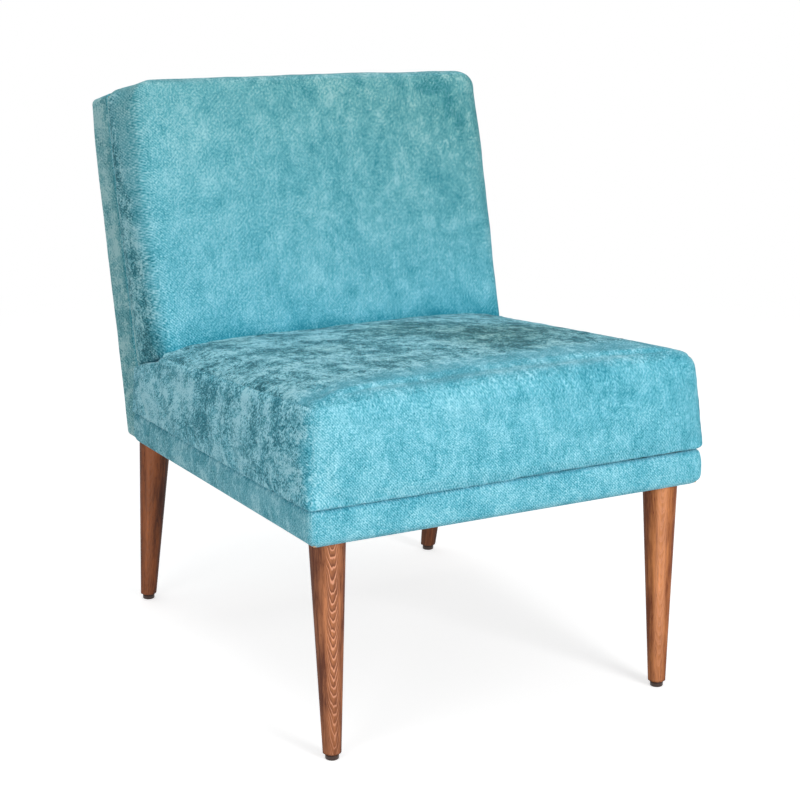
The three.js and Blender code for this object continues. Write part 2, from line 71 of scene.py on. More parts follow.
def addObject(name, data):
    made = bpy.data.objects.new(name, data)
    scene.collection.objects.link(made)
    return made


def finishPiece(mesh, name, material, slot, *replaced):
    mesh.name = name
    mesh.materials.clear()
    mesh.materials.append(material)
    piece = addObject(name, mesh)
    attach(piece, "root")
    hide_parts(*replaced)
    return piece


def addWall(piece, thickness):
    wall = piece.modifiers.new("wall", "SOLIDIFY")
    wall.thickness = thickness
    wall.offset = -1


def toMesh(bm):
    for face in bm.faces:
        face.smooth = True
    mesh = bpy.data.meshes.new("shape")
    bm.to_mesh(mesh)
    bm.free()
    return mesh


def smoothStep(low, high, value):
    t = np.clip((value - low) / (high - low), 0, 1)
    return t * t * (3 - 2 * t)


def between(first, second, share):
    return first + (second - first) * share


# A cube from -1 to 1 with a grid of faces on each side
def gridCube(steps):
    bm = bmesh.new()
    bmesh.ops.create_cube(bm, size=2)
    for axis, count in enumerate(steps):
        lengthwise = [e for e in bm.edges if abs(e.verts[0].co[axis] - e.verts[1].co[axis]) > 1e-6]
        bmesh.ops.subdivide_edges(bm, edges=lengthwise, cuts=count - 1, use_grid_fill=True)
    return bm


onSide = 0.999  # from here on a point of the grid cube lies on its side
farAway = 9.0  # distance to a seam that isn't near


# The grid of a padded block while it is shaped. Its lines crowd towards the edges: along is how far
# each point lies along the cloth, and stops is where that is on the straight side
class Block:
    def __init__(self, size, settings):
        edge, crowd = settings["edge"], np.array(settings["crowd"])
        self.bm = gridCube(settings["steps"])
        self.cube = np.array([v.co[:] for v in self.bm.verts])
        self.halves = np.array(size) / 2
        flat = self.halves - edge
        self.reach = flat + edge * math.pi / 4
        self.along = self.reach * ((1 - crowd) * self.cube + crowd * np.sin(self.cube * math.pi / 2))
        past = np.clip((np.abs(self.along) - flat) / edge, 0, math.pi / 4)
        bent = np.sign(self.along) * (flat + edge * np.tan(past))
        self.stops = np.where(np.abs(self.along) <= flat, self.along, bent)

    # One panel of cloth on each side: its UV map in metres, and crush, shade and lift as corner values,
    # so that they change sharply at a seam
    def layCloth(self, wrap, tones):
        self.bm.verts.index_update()
        uv = self.bm.loops.layers.uv.new("cloth")
        layers = [self.bm.loops.layers.float.new(name) for name in ("crush", "shade", "lift")]
        for face in self.bm.faces:
            middle = sum((Vector(self.cube[v.index]) for v in face.verts), Vector())
            axis = max(range(3), key=lambda i: abs(middle[i]))
            sign = 1 if middle[axis] > 0 else -1
            for loop in face.loops:
                along = self.along[loop.vert.index]
                loop[uv].uv = wrap(axis, sign, along, self.reach)
                for layer, value in zip(layers, tones(axis, sign, along, self.reach)):
                    loop[layer] = value

    # Distance along the cloth to the nearest of the named edges, such as "-x+z"
    def edgeDistance(self, *edges):
        nearest = np.full(len(self.cube), farAway)
        for edge in edges:
            sides = [("xyz".index(edge[k + 1]), 1 if edge[k] == "+" else -1) for k in (0, 2)]
            away = sum(self.reach[i] - sign * self.along[:, i] for i, sign in sides)
            beside = np.any([sign * self.cube[:, i] > 0.9999 for i, sign in sides], axis=0)
            nearest = np.where(beside, np.minimum(nearest, away), nearest)
        return nearest

    # The places with rounded edges: each radius has one value for each point
    def rounded(self, across, deep, tall):
        radii = np.stack([across, deep, tall], axis=1)
        core = np.clip(self.stops, radii - self.halves, self.halves - radii)
        out = (self.stops - core) / radii
        length = np.linalg.norm(out, axis=1, keepdims=True)
        return core + radii * out / np.maximum(length, 1e-9)

    # The two top corners of an upright block, rounded in its own plane
    def roundTop(self, place, radius):
        coreX, coreZ = self.halves[0] - radius, self.halves[2] - radius
        across, above = np.abs(place[:, 0]) - coreX, place[:, 2] - coreZ
        length = np.hypot(across, above)
        beyond = (across > 0) & (above > 0) & (length > radius)
        shrink = radius / np.maximum(length, 1e-9)
        place[:, 0] = np.where(beyond, np.sign(place[:, 0]) * (coreX + across * shrink), place[:, 0])
        place[:, 2] = np.where(beyond, coreZ + above * shrink, place[:, 2])
        return place

    def putPlaces(self, places):
        for vert, where in zip(self.bm.verts, places):
            vert.co = where

    def facesWhere(self, test):
        return [face for face in self.bm.faces if test(face.calc_center_median())]


def meshVectors(mesh, kind="co"):
    flat = np.zeros(len(mesh.vertices) * 3, np.float64)
    mesh.vertices.foreach_get(kind, flat)
    return flat.reshape(-1, 3)


def putPlaces(mesh, places):
    mesh.vertices.foreach_set("co", np.asarray(places, np.float64).ravel())
    mesh.update()


def floatLayer(mesh, name):
    values = np.zeros(len(mesh.vertices), np.float32)
    mesh.attributes[name].data.foreach_get("value", values)
    return values.astype(np.float64)


def addFloats(mesh, name, values):
    layer = mesh.attributes.new(name, "FLOAT", "POINT")
    layer.data.foreach_set("value", np.asarray(values, np.float32))


# Unevenness at each place as a sum of waves: scale, seed and weight
def ripples(places, *waves):
    return np.array([sum(weight * noise.noise(Vector(p) * scale + Vector((seed, seed * 0.37, -seed)))
                         for scale, seed, weight in waves) for p in places])


def evaluated(piece):
    view = bpy.context.evaluated_depsgraph_get()
    mesh = bpy.data.meshes.new_from_object(piece.evaluated_get(view), depsgraph=view)
    bpy.data.objects.remove(piece)
    return mesh


air = {
    "frames": 20,
    "inwardRemoved": 0.9,
    "cloth": {"quality": 6, "mass": 0.3, "tension_stiffness": 40, "compression_stiffness": 40,
              "shear_stiffness": 12, "bending_stiffness": 0.6, "shrink_min": -0.006,
              "use_pressure": True, "uniform_pressure_force": 4.0, "vertex_group_mass": "pinned"},
}


# Cloth under air pressure, with its seams and hidden faces pinned; no point moves further than the cap
def inflate(mesh, pinned, cap):
    start, normals = meshVectors(mesh), meshVectors(mesh, "normal")
    piece = addObject("inflated", mesh)
    group = piece.vertex_groups.new(name="pinned")
    for index, weight in enumerate(pinned):
        if weight > 0:
            group.add([index], float(weight), "REPLACE")
    cloth = piece.modifiers.new("cloth", "CLOTH")
    for key, value in air["cloth"].items():
        setattr(cloth.settings, key, value)
    cloth.settings.effector_weights.gravity = 0
    cloth.collision_settings.use_self_collision = False
    cloth.point_cache.frame_start = 1
    cloth.point_cache.frame_end = air["frames"]
    for number in range(1, air["frames"] + 1):
        scene.frame_set(number)
    swollen = evaluated(piece)
    scene.frame_set(1)
    moved = meshVectors(swollen) - start
    outward = np.sum(moved * normals, axis=1, keepdims=True)
    moved -= normals * np.minimum(outward, 0) * air["inwardRemoved"]
    far = np.linalg.norm(moved, axis=1, keepdims=True)
    moved *= np.minimum(1, cap / np.maximum(far, 1e-9))
    note(f"swelled by up to {far.max() * 1000:.1f} mm, {np.abs(moved).max() * 1000:.1f} kept")
    putPlaces(mesh, start + moved)
    bpy.data.meshes.remove(swollen)


# One smooth subdivision, applied
def refine(mesh):
    piece = addObject("refined", mesh)
    smooth = piece.modifiers.new("smooth", "SUBSURF")
    smooth.levels = smooth.render_levels = 1
    smooth.boundary_smooth = "PRESERVE_CORNERS"
    return evaluated(piece)


# Sewn seams: a narrow groove with small puckers beside it, and soft dents over the faces
def sewSeams(mesh, seed, depth, width):
    places, normals = meshVectors(mesh), meshVectors(mesh, "normal")
    seams, foot = floatLayer(mesh, "seamDistance"), floatLayer(mesh, "footDistance")
    groove = np.exp(-((seams / width) ** 2))
    edge = np.exp(-(np.minimum(seams, foot + 0.004) / 0.012))
    puckers = ripples(places, (95.0, seed, 1))
    dents = ripples(places, (13.0, seed + 4, 1), (29.0, seed + 9, 0.5))
    rest = smoothStep(0.0, 0.03, np.minimum(seams, foot))
    push = -depth * groove + 0.0011 * puckers * edge * (1 - 0.6 * groove) + 0.0012 * dents * rest
    putPlaces(mesh, places + normals * push[:, None])
    # a narrower mask along the groove, with which the pile is darkened there: painted shade in the groove
    addFloats(mesh, "seam", np.exp(-((seams / (width * 0.8)) ** 2)))


def makeCushion(block, settings, seams, foot, pinned):
    mesh = toMesh(block.bm)
    addFloats(mesh, "seamDistance", seams)
    addFloats(mesh, "footDistance", foot)
    inflate(mesh, pinned, settings["swellCap"])
    fine = refine(mesh)
    sewSeams(fine, settings["seed"], settings["seamDepth"], settings["seamWidth"])
    return fine


# A cover that is open inside: a little uneven where keep lets it be, and as thick as its cloth
def makeCover(block, settings, keep, name, replaced):
    mesh = refine(toMesh(block.bm))
    places, normals = meshVectors(mesh), meshVectors(mesh, "normal")
    push = settings["wobble"] * ripples(places, *settings["waves"]) * keep(places, normals)
    putPlaces(mesh, places + normals * push[:, None])
    addFloats(mesh, "seam", np.zeros(len(places)))
    mesh.transform(seatFrame)
    piece = finishPiece(mesh, name, fabric, "upholstery_fabric", replaced)
    addWall(piece, settings["wall"])


# An input gets the output of another node or a fixed value
def plug(value, socket):
    if isinstance(value, Wire):
        socket.id_data.links.new(value.socket, socket)
    else:
        socket.default_value = value


def addNode(tree, kind, inputs, **settings):
    made = tree.nodes.new("ShaderNode" + kind)
    for key, value in settings.items():
        setattr(made, key, value)
    for key, value in inputs.items():
        plug(value, made.inputs[key])
    return made.outputs


# An output in a node tree: reckoning with it places Math nodes
class Wire:
    def __init__(self, socket):
        self.socket = socket

    def through(self, kind, inputs, output=0, **settings):
        return Wire(addNode(self.socket.id_data, kind, inputs, **settings)[output])

    def reckon(self, operation, other=0.0):
        return self.through("Math", {0: self, 1: other}, operation=operation)

    def __add__(self, other):
        return self.reckon("ADD", other)

    def __sub__(self, other):
        return self.reckon("SUBTRACT", other)

    def __rsub__(self, other):
        return self.through("Math", {0: other, 1: self}, operation="SUBTRACT")

    def __mul__(self, other):
        return self.reckon("MULTIPLY", other)

    def clamped(self):
        self.socket.node.use_clamp = True
        return self

    def mapped(self, low, high, newLow=0.0, newHigh=1.0, smooth=False):
        ends = {"From Min": low, "From Max": high, "To Min": newLow, "To Max": newHigh}
        kind = "SMOOTHSTEP" if smooth else "LINEAR"
        return self.through("MapRange", {"Value": self, **ends}, interpolation_type=kind)

    # From the first colour to the second, by as much as this wire says
    def mix(self, first, second, blend="MIX"):
        return self.through("Mix", {0: self, 6: first, 7: second}, 2, data_type="RGBA", blend_type=blend)

    # Noise at this place, stretched along the axes
    def grain(self, scale, detail, roughness, low, high, shift=(0, 0, 0), newLow=0.0):
        spread = self.through("Mapping", {"Vector": self, "Scale": scale, "Location": shift})
        look = {"Vector": spread, "Scale": 1.0, "Detail": detail, "Roughness": roughness}
        return self.through("TexNoise", look).mapped(low, high, newLow, 1.0)


# A group that gives colour, height and roughness
def newGroup(name, numbers, colours):
    tree = bpy.data.node_groups.new(name, "ShaderNodeTree")
    kinds = {"Vector": "Vector", **dict.fromkeys(numbers, "Float"), **dict.fromkeys(colours, "Color")}
    for label, kind in kinds.items():
        tree.interface.new_socket(label, in_out="INPUT", socket_type="NodeSocket" + kind)
    for label, kind in (("Color", "Color"), ("Height", "Float"), ("Roughness", "Float")):
        tree.interface.new_socket(label, in_out="OUTPUT", socket_type="NodeSocket" + kind)
    given = tree.nodes.new("NodeGroupInput").outputs
    return tree, {label: Wire(given[label]) for label in kinds}


def closeGroup(tree, *look):
    for value, socket in zip(look, tree.nodes.new("NodeGroupOutput").inputs):
        plug(value, socket)
    return tree


def newMaterial(name):
    material = bpy.data.materials.new(name)
    material.use_nodes = True
    return material, material.node_tree, material.node_tree.nodes["Principled BSDF"].inputs


# A look on a shader, with its height as a bump
def wear(shader, colour, height, roughness, strength, distance):
    plug(colour, shader["Base Color"])
    plug(roughness, shader["Roughness"])
    raised = height.through("Bump", {"Height": height, "Strength": strength, "Distance": distance})
    plug(raised, shader["Normal"])


def toLinear(red, green, blue):
    channels = [c / 255 for c in (red, green, blue)]
    return tuple(c / 12.92 if c <= 0.04045 else ((c + 0.055) / 1.055) ** 2.4 for c in channels) + (1.0,)


pile = {
    "colours": {"Hollow Colour": toLinear(40, 140, 162), "Pile Colour": toLinear(99, 186, 206),
                "Tip Colour": toLinear(170, 228, 241), "Crushed Colour": toLinear(36, 108, 124),
                "Shade Colour": (0.88, 0.7, 0.55, 1.0)},
    "bump": (0.5, 0.001),
    "threadPitch": 0.0026,
    "bumpPitch": 0.0043,
    "shader": {"Specular IOR Level": 0.12, "Sheen Weight": 0.12, "Sheen Roughness": 0.4,
               "Sheen Tint": (0.9, 0.93, 0.9, 1)},
}
pileNumbers = ("Crush", "Shade", "Seam", "Lift")


# Pile fabric: a fine diagonal weave under short pile that is brushed into streaks where it is crushed
def makePileGroup():
    tree, given = newGroup("pileWeave", pileNumbers, pile["colours"])
    place = given["Vector"]
    # the cloth lies a little askew, so strokes wander
    drift = place.through("TexNoise", {"Vector": place, "Scale": 20.0, "Detail": 3.0, "Roughness": 0.6}, 1)
    centred = drift.through("VectorMath", {0: drift, 1: (0.5, 0.5, 0.5)}, operation="SUBTRACT")
    pushed = centred.through("VectorMath", {0: centred, "Scale": 0.025}, operation="SCALE")
    wandered = place.through("VectorMath", {0: place, 1: pushed}, operation="ADD")
    patches = wandered.grain((17.0, 19.0, 1.0), 6.0, 0.68, 0.4, 0.6, (7.0, 4.9, 0), -1.0)
    strokes = wandered.grain((62.0, 78.0, 1.0), 6.0, 0.8, 0.41, 0.59, (0, 0, 0), -1.0)
    hairs = wandered.grain((270.0, 350.0, 1.0), 3.0, 0.8, 0.39, 0.61, (3.0, 2.1, 0), -1.0)
    crushed = strokes * 0.42 + hairs * 0.44 + patches * 0.42
    # where smooth pile turns to crushed, the one runs into the other in wisps
    past = given["Crush"].mapped(0.25, 1.0)
    crush = (given["Crush"] + past * (1.0 - past) * (strokes * 1.7)).clamped()
    # soft clouds where hands have stroked the pile, its tufts, and faint streaks along the warp
    clouds = place.grain((34.0, 34.0, 1.0), 6.0, 0.7, 0.32, 0.68, (1.0, 0.7, 0), -1.0)
    tufts = place.grain((430.0, 430.0, 1.0), 3.0, 0.8, 0.36, 0.64, (2.0, 1.4, 0), -1.0)
    streaks = place.grain((22.0, 240.0, 1.0), 3.0, 0.65, 0.34, 0.66, (5.0, 3.5, 0), -1.0)
    turned = place.through("Mapping", {"Vector": place, "Rotation": (0, 0, math.radians(45))})
    split = addNode(tree, "SeparateXYZ", {0: turned})
    threads = (Wire(split["Y"]) * (2 * math.pi / pile["threadPitch"])).reckon("SINE")
    bumps = (Wire(split["X"]) * (2 * math.pi / pile["bumpPitch"])).reckon("SINE")
    weave = threads * 0.7 + bumps * 0.3
    tone = given["Lift"] + weave * 0.18 + tufts * 0.37 + clouds * 0.14 + streaks * 0.05 + 0.5
    # the pile is darker along the seam grooves: painted shade
    tone = tone + crushed * crush - given["Seam"] * 0.15
    hollow = crush.mix(given["Hollow Colour"], given["Crushed Colour"])
    lower = (tone * 2.0).clamped().mix(hollow, given["Pile Colour"])
    full = (tone * 2.0 - 1.0).clamped().mix(lower, given["Tip Colour"])
    # Shade turns the pile greyer and darker by Shade Colour: painted shade and sheen on the tops and sides of
    # the panels and up the back's face; in the seat top's dark spots it is the pile's own colour
    shaded = given["Shade"].mix(full, given["Shade Colour"], "MULTIPLY")
    height = weave * 0.35 + tufts * 0.5 + crushed * (crush * 1.2)
    return closeGroup(tree, shaded, height, tone.mapped(0.2, 0.8, 0.95, 0.75))


def pileMaterial(name):
    material, tree, shader = newMaterial(name)
    given = {"Vector": Wire(addNode(tree, "UVMap", {}, uv_map="cloth")["UV"]), **pile["colours"]}
    for label in pileNumbers:
        given[label] = Wire(addNode(tree, "Attribute", {}, attribute_name=label.lower())["Fac"])
    look = addNode(tree, "Group", given, node_tree=makePileGroup())
    wear(shader, *map(Wire, look), *pile["bump"])
    for label, value in pile["shader"].items():
        shader[label].default_value = value
    return material


fabric = pileMaterial("turquoisePile")


# Soft-edged spots where the pile lies darker or lighter: across, along, radius and amount
def spotted(spots, across, along):
    return sum(amount * math.exp(-((across - u) ** 2 + (along - v) ** 2) / radius ** 2)
               for u, v, radius, amount in spots)


seat = {
    "half": 0.2968,
    "front": -0.007,
    "rear": 0.6047,
    "depth": 0.605,
    "floor": 0.0493,
    "height": 0.133,
    "fall": 0.037 / 0.605,
    "drawnIn": 0.009,
    "edge": 0.028,
    "topRear": 0.015,
    "cornerRadius": 0.023,
    "footCorner": 0.009,
    "footRadius": 0.0045,
    "rearRadius": 0.015,
    "crown": 0.0125,
    "rightRise": (0.002, -0.003),
    "sideSwell": 0.003,
    "steps": (84, 84, 24),
    "crowd": (0.72, 0.72, 0.66),
    "seed": 3.1,
    "seamDepth": 0.0012,
    "seamWidth": 0.0026,
    "cornerSeam": 0.0022,
    "swellCap": 0.006,
    "backGap": 0.0006,
    "borderGap": 0.0002,
    "topSpots": (
        (0.1, 0.19, 0.08, -0.3), (0.1, 0.3, 0.07, -0.26), (0.19, 0.25, 0.06, -0.22),
        (0.0, 0.36, 0.06, -0.14), (0.06, 0.42, 0.06, -0.2), (-0.11, 0.14, 0.03, -0.1),
        (-0.14, 0.28, 0.04, -0.1), (-0.02, 0.18, 0.03, 0.16), (0.0, 0.26, 0.03, 0.12),
        (-0.19, 0.47, 0.04, -0.16), (-0.19, 0.17, 0.05, 0.12), (0.27, 0.36, 0.05, 0.2),
        (-0.12, 0.42, 0.05, 0.12)),
    "sideSpots": (
        (0.29, 0.08, 0.04, -0.24), (0.37, 0.025, 0.028, -0.14), (0.43, 0.05, 0.02, -0.1),
        (0.17, 0.03, 0.035, -0.1), (0.09, 0.06, 0.03, -0.08), (0.22, 0.06, 0.03, 0.1),
        (0.5, 0.05, 0.05, 0.08)),
}

back = {
    "half": 0.2805,
    "front": -0.190,
    "rear": -0.0753,
    "foot": 0.1142,
    "top": 0.501,
    "edge": 0.027,
    "footRadius": 0.008,
    "rearRadius": 0.004,
    "corner": (0.036, 0.026),
    "footDrop": (0.008, 0.006),
    "drawnIn": (0.0028, 0.0016),
    "crown": 0.007,
    "sideSwell": 0.0085,
    "topSwell": 0.003,
    "tilt": 0.005,
    "steps": (76, 22, 62),
    "crowd": (0.7, 0.6, 0.7),
    "seed": 7.7,
    "seamDepth": 0.0,
    "seamWidth": 0.0022,
    "swellCap": 0.0022,
    "clothScale": 0.93,
    "spots": (
        (-0.054, 0.37, 0.025, -0.12), (0.235, 0.325, 0.045, -0.22), (-0.03, 0.245, 0.05, -0.06),
        (0.12, 0.355, 0.03, 0.08), (0.245, 0.17, 0.05, -0.09), (0.0, 0.105, 0.05, 0.05),
        (-0.2, 0.26, 0.07, 0.05), (0.05, 0.29, 0.03, -0.05), (0.16, 0.07, 0.04, -0.05)),
}


# The back cushion hangs lower at its sides, and most so at the rear
def footFall(across, deep):
    fall, rearFall = back["footDrop"]
    return smoothStep(0.72, 1.0, np.abs(across)) * (fall + rearFall * smoothStep(-0.15, -0.085, deep))


def carried(places, matrix):
    return places @ np.array(matrix.to_3x3()).T + np.array(matrix.translation)


# The seat gives way where the back cushion presses: forward of its face or down under its foot
def pressUnder(places, gap):
    local = carried(places, backInSeat.inverted())
    radius = back["footRadius"]
    share = np.clip(local[:, 0] / back["half"], -1, 1)
    face = back["front"] - 0.25 * back["crown"] * (1 - share * share) - gap
    floor = back["foot"] - gap - footFall(share, local[:, 1])
    qy = face + radius - local[:, 1]
    qz = floor + radius - local[:, 2]
    corner = (qy > 0) & (qz > 0)
    length = np.hypot(qy, qz)
    inCorner = corner & (length < radius)
    grow = np.where(inCorner, radius / np.maximum(length, 1e-6), 1)
    inFace = ~corner & (qy > qz) & (qy < radius) & (local[:, 2] > floor)
    inFoot = ~corner & (qz >= qy) & (qz < radius) & (local[:, 1] > face)
    local[:, 1] = np.where(inCorner, face + radius - qy * grow, np.where(inFace, face, local[:, 1]))
    local[:, 2] = np.where(inCorner, floor + radius - qz * grow, np.where(inFoot, floor, local[:, 2]))
    return carried(local, backInSeat)


def seatWrap(axis, sign, along, reach):
    if axis == 2:
        return (along[1] + (2 if sign < 0 else 0), along[0])
    if axis == 1:
        down = reach[2] - along[2]
        return (-reach[1] - down if sign < 0 else 3 + down, along[0])
    # the side's pile is brushed along, which draws its strokes out
    return (along[2] + 1, along[1] * sign * 0.65 + 5)


def seatTones(axis, sign, along, reach):
    deep, tall = along[1] + reach[1], along[2] + reach[2]
    # shade greys the side towards the rear, and the top behind its front edge, a little: painted shade and
    # sheen
    if axis == 0:
        lift = spotted(seat["sideSpots"], deep, tall)
        past = smoothStep(0.002, 0.03, deep)
        return 0.5 + 0.4 * past, 0.1 * deep, (lift + 0.02 + 0.38 * deep) * past - 0.12 * (1 - past)
    if axis == 2 and sign > 0:
        start = 0.045 + 0.03 * smoothStep(-0.2, 0.0, along[0])
        worn = min(1, max(0, (deep - start) / 0.035))
        lift = spotted(seat["topSpots"], along[0], deep) * worn
        return 0.42 + 0.58 * worn, 0.1 * worn + max(0, -lift) * 1.4, lift - 0.08 * (1 - worn)
    return 0.22, 0.0, -0.075 * along[0] / reach[0]


def makeSeat():
    block = Block((seat["half"] * 2, seat["rear"] - seat["front"], seat["height"]), seat)
    block.layCloth(seatWrap, seatTones)
    x, y, z = block.cube.T
    topHere = between(seat["edge"], seat["topRear"], smoothStep(-0.3, 0.8, y))
    across = between(seat["cornerRadius"], topHere, smoothStep(-1.0, 1.0, z))
    across += (seat["footCorner"] - across) * (1 - smoothStep(-1.0, -0.35, z)) * (x < 0)
    deep = np.where(y > 0, seat["rearRadius"], across)
    place = block.rounded(across, deep, np.where(z > 0, topHere, seat["footRadius"]))
    share = place / block.halves
    fade = 1 - share ** 2
    midway = 1 - 0.6 * share[:, 2] ** 2
    domed = share[:, 2] * (1 - np.abs(share[:, 0]) ** 3) * fade[:, 1]
    place = place + np.stack([
        seat["sideSwell"] * share[:, 0] * fade[:, 1] * midway,
        np.where(share[:, 1] < 0, seat["sideSwell"], 0) * share[:, 1] * fade[:, 0] * midway,
        np.where(share[:, 2] > 0, seat["crown"], 0) * domed,
    ], axis=1)
    place[:, 1] += (seat["rear"] + seat["front"]) / 2
    height = place[:, 2] + block.halves[2]
    rise = height / seat["height"]
    lean = seat["drawnIn"] * rise
    thinning = seat["fall"] * place[:, 1] * rise
    place[:, 0] *= 1 - lean / seat["half"]
    place[:, 1] += lean * (1 - place[:, 1] / seat["depth"])
    place[:, 2] = height - thinning + seat["floor"]
    rightward = smoothStep(0.4, 1.0, share[:, 0]) * rise
    place[:, 2] += rightward * between(*seat["rightRise"], smoothStep(-1.0, 0.6, share[:, 1]))
    block.putPlaces(place)
    corners = block.edgeDistance("-x-y", "+x-y") + seat["cornerSeam"]
    seams = np.minimum(block.edgeDistance("-x+z", "+x+z"), corners)
    foot = block.edgeDistance("-x-z", "+x-z", "-y-z")
    hidden = (z < -onSide) | (y > onSide) | (foot < 0.004)
    pinned = np.where(hidden, 1.0, np.where(seams < 0.002, 0.5, 0.0))
    fine = makeCushion(block, seat, seams, foot, pinned)
    places = pressUnder(meshVectors(fine), seat["backGap"])
    places[:, 2] = np.maximum(places[:, 2], seat["floor"] + seat["borderGap"])
    places[:, 1] = np.minimum(places[:, 1], seat["rear"])
    putPlaces(fine, places)
    fine.transform(seatFrame)
    piece = finishPiece(fine, "seat_cushion", fabric, "upholstery_fabric", "seat_cover", "seat_foam")


makeSeat()
note("seat cushion made")


def backWrap(axis, sign, along, reach):
    run = reach[1] + along[1]
    if axis == 1:
        place = (along[2] + (4 if sign > 0 else 0), along[0])
    elif axis == 2:
        place = (sign * (reach[2] + run), along[0])
    else:
        # the side's pile is brushed forwards, which draws its strokes out
        place = (along[2], sign * (reach[0] + run * 0.4))
    return (place[0] * back["clothScale"], place[1] * back["clothScale"] + 10)


def backTones(axis, sign, along, reach):
    # painted shade and sheen: the top is greyed by shade
    if axis == 2 and sign > 0:
        return 0.4, 0.5, 0.0
    tall = along[2] + reach[2]
    height, across = tall / (2 * reach[2]), (along[0] / reach[0] + 1) / 2
    # painted shade: the face greys and darkens towards the top and the right
    shade = min(0.65, 0.5 * height ** 1.5 + 0.32 * across * min(1, height * 2))
    # spots of darker and lighter pile, and painted shade along the foot: darker and more saturated where the
    # cushion meets the seat, darkest at the crease
    wavy = 0.09 + 0.06 * noise.noise(Vector((along[0] * 9, 0.3, 2.2)))
    lift = spotted(back["spots"], along[0], tall) - 0.2 * max(0, 1 - height / wavy)
    lift -= 0.3 * math.exp(-tall / 0.012)
    lift += 0.03 - 0.04 * across - 0.03 * across * height
    if axis:
        return 0.15 + 0.24 * across * height, shade + 0.06 * across * height, lift
    # a band of crushed pile lies along the side's rear, widest low down, behind a ridge at the seam that is
    # painted pale: a painted highlight
    fromRear = reach[1] - along[1]
    limit = 0.028 + 0.06 * smoothStep(0.95, 0.3, height)
    limit += 0.012 * noise.noise(Vector((tall * 30, along[1] * 20, 3.3)))
    band = min(1, max(0, (limit - fromRear) / 0.03 + 0.5))
    ridge = math.exp(-(fromRear / 0.007) ** 2)
    crush = (0.15 + 0.75 * band) * (1 - 0.8 * ridge)
    return crush, between(shade, 0.3, band) + 0.3 * ridge, between(between(lift, -0.09, band), 0.42, ridge)


def makeBack():
    block = Block((back["half"] * 2, back["rear"] - back["front"], back["top"] - back["foot"]), back)
    block.layCloth(backWrap, backTones)
    x, y, z = block.cube.T
    forward = 1 - smoothStep(-0.2, 0.95, y)
    soft = between(back["rearRadius"], back["edge"], forward)
    small = np.minimum(soft, back["footRadius"])
    wide = between(soft, small, 1 - smoothStep(-1.0, -0.2, z))
    deep = np.where(y < 0, back["edge"], back["rearRadius"])
    corner = between(back["corner"][1], back["corner"][0], forward)
    place = block.roundTop(block.rounded(wide, deep, np.where(z > 0, soft, small)), corner)
    share = place / block.halves
    fade = 1 - share ** 2
    foot, head = smoothStep(-0.6, -1.0, share[:, 2]), smoothStep(0.2, 1.0, share[:, 2])
    place[:, 0] -= share[:, 0] * forward * (back["drawnIn"][0] * foot + back["drawnIn"][1] * head)
    place[:, 0] += back["sideSwell"] * share[:, 0] * fade[:, 1] * fade[:, 2]
    place[:, 1] += np.where(share[:, 1] < 0, back["crown"], 0) * share[:, 1] * fade[:, 0] * fade[:, 2]
    upper = smoothStep(0.0, 1.0, share[:, 2])
    place[:, 2] += upper * (back["topSwell"] * fade[:, 0] * fade[:, 1] - back["tilt"] * (share[:, 0] - 0.05))
    place[:, 1] += (back["front"] + back["rear"]) / 2
    place[:, 2] += (back["foot"] + back["top"]) / 2
    place[:, 2] -= footFall(share[:, 0], place[:, 1]) * (1 - smoothStep(-1.0, -0.5, share[:, 2]))
    block.putPlaces(place)
    rear = block.edgeDistance("-x+y", "+x+y", "+z+y")
    pinned = np.where((y > onSide) | (z < -onSide) | (rear < 0.003), 1.0, 0.0)
    fine = makeCushion(block, back, np.full(len(place), farAway), rear, pinned)
    places = meshVectors(fine)
    places[:, 1] = np.minimum(places[:, 1], back["rear"])
    putPlaces(fine, places)
    fine.transform(backFrame)
    piece = finishPiece(fine, "back_cushion", fabric, "upholstery_fabric", "back_cover", "back_foam")


makeBack()
note("back cushion made")


border = {
    "half": 0.290,
    "depth": 0.605,
    "height": 0.0488,
    "edge": 0.012,
    "hem": 0.003,
    "corner": 0.013,
    "flange": 0.0049,
    "foot": 0.0105,
    "footHeight": 0.014,
    "swell": 0.003,
    "steps": (72, 72, 16),
    "crowd": (0.6, 0.6, 0.3),
    "turnUnder": 0.015,
    "wobble": 0.0006,
    "waves": ((16.0, 2.2, 1), (55.0, 5.5, 0.6)),
    "wall": 0.0019,
}


def borderWrap(axis, sign, along, reach):
    if axis == 1:
        return (along[2], along[0] + 20)
    if axis == 0:
        return (along[2], 20 + sign * (reach[0] + reach[1] + along[1]))
    return (-reach[2] - reach[1] - along[1], along[0] + 20)


def borderTones(axis, sign, along, reach):
    deep = along[1] + reach[1]
    # shade greys the sides a little, more towards the rear: painted shade and sheen
    return (0.22, 0.0, 0.03) if axis else (0.3 + 0.7 * deep, 0.1 + 0.1 * deep, 0.05)


